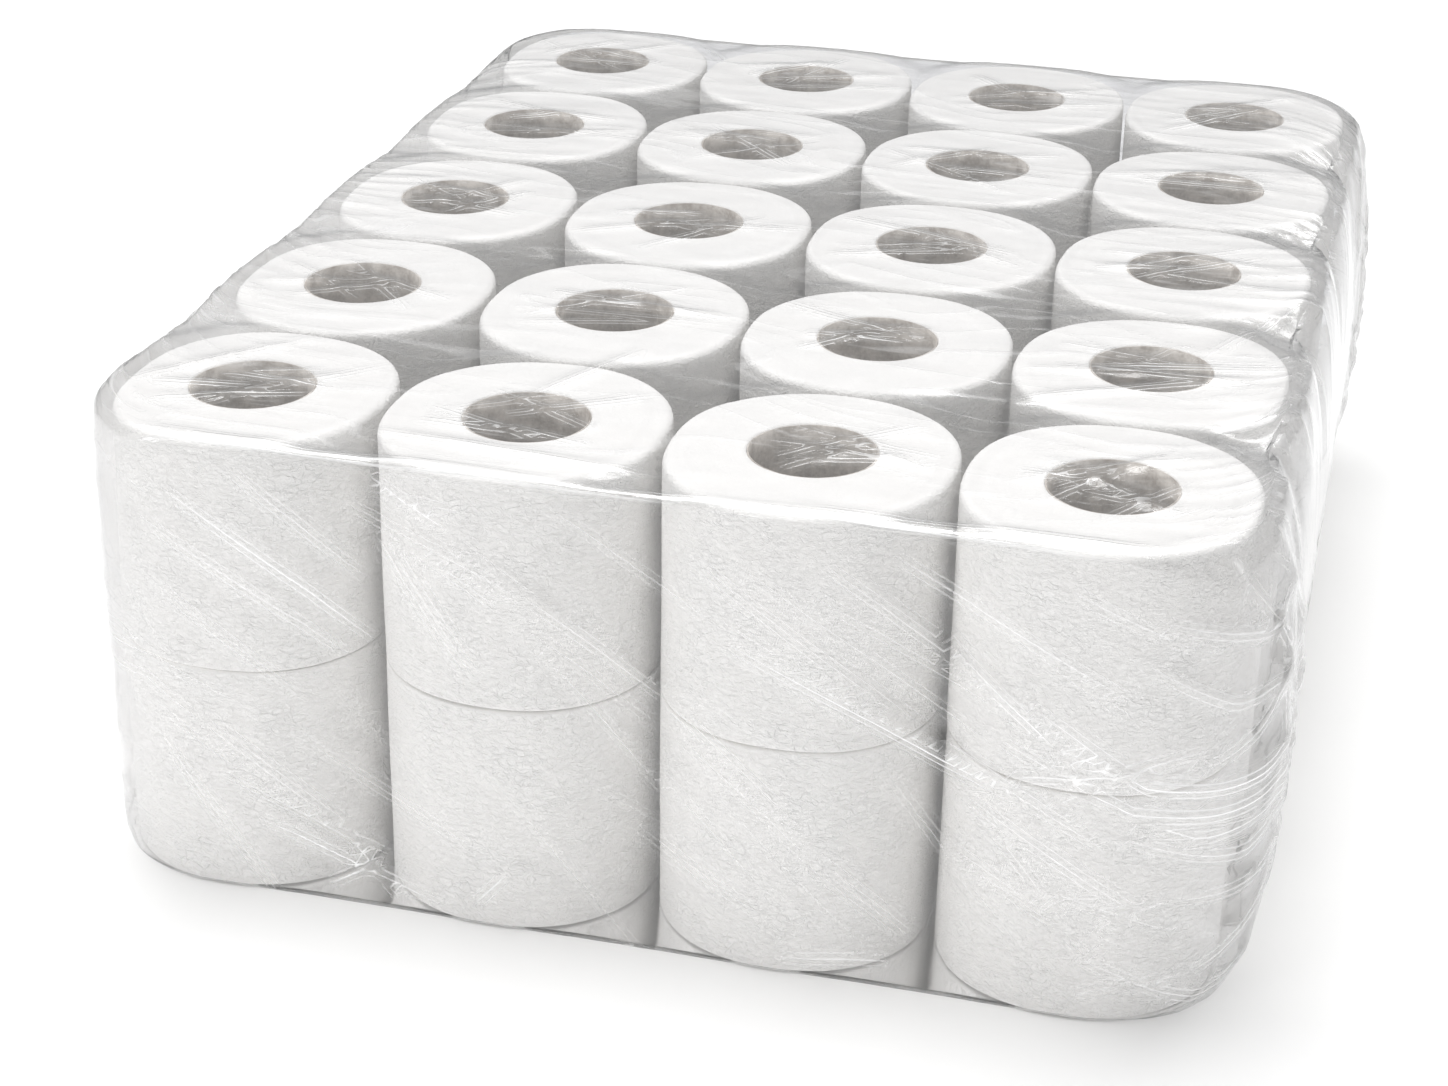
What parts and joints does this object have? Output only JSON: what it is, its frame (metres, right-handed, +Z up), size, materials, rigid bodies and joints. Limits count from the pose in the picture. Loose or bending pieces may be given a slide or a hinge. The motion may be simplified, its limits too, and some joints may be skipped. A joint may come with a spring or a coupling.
{
  "type": "toilet paper roll pack",
  "caption": "Bulk pack of toilet paper rolls standing on end in two layers, wrapped together in one clear plastic film bag.",
  "frame": {"origin": "middle of the pack's underside", "axes": "+X across the four columns of rolls, +Y from the front row to the back row, +Z up along the rolls' cores"},
  "size_m": [0.4794, 0.5814, 0.1914],
  "materials": {
    "paper": "soft embossed tissue",
    "cardboard": "uncoated grey board",
    "film": "clear glossy film"
  },
  "bodies": {
    "root": {"roll_lower_row1_col1": "paper", "roll_lower_row1_col2": "paper", "roll_lower_row1_col3": "paper", "roll_lower_row1_col4": "paper", "roll_lower_row2_col1": "paper", "roll_lower_row2_col2": "paper", "roll_lower_row2_col3": "paper", "roll_lower_row2_col4": "paper", "roll_lower_row3_col1": "paper", "roll_lower_row3_col2": "paper", "roll_lower_row3_col3": "paper", "roll_lower_row3_col4": "paper", "roll_lower_row4_col1": "paper", "roll_lower_row4_col2": "paper", "roll_lower_row4_col3": "paper", "roll_lower_row4_col4": "paper", "roll_lower_row5_col1": "paper", "roll_lower_row5_col2": "paper", "roll_lower_row5_col3": "paper", "roll_lower_row5_col4": "paper", "roll_upper_row1_col1": "paper", "roll_upper_row1_col2": "paper", "roll_upper_row1_col3": "paper", "roll_upper_row1_col4": "paper", "roll_upper_row2_col1": "paper", "roll_upper_row2_col2": "paper", "roll_upper_row2_col3": "paper", "roll_upper_row2_col4": "paper", "roll_upper_row3_col1": "paper", "roll_upper_row3_col2": "paper", "roll_upper_row3_col3": "paper", "roll_upper_row3_col4": "paper", "roll_upper_row4_col1": "paper", "roll_upper_row4_col2": "paper", "roll_upper_row4_col3": "paper", "roll_upper_row4_col4": "paper", "roll_upper_row5_col1": "paper", "roll_upper_row5_col2": "paper", "roll_upper_row5_col3": "paper", "roll_upper_row5_col4": "paper", "cores_lower_row1": "cardboard", "cores_lower_row2": "cardboard", "cores_lower_row3": "cardboard", "cores_lower_row4": "cardboard", "cores_lower_row5": "cardboard", "cores_upper_row1": "cardboard", "cores_upper_row2": "cardboard", "cores_upper_row3": "cardboard", "cores_upper_row4": "cardboard", "cores_upper_row5": "cardboard", "film_bag": "film"}
  },
  "joints": []
}
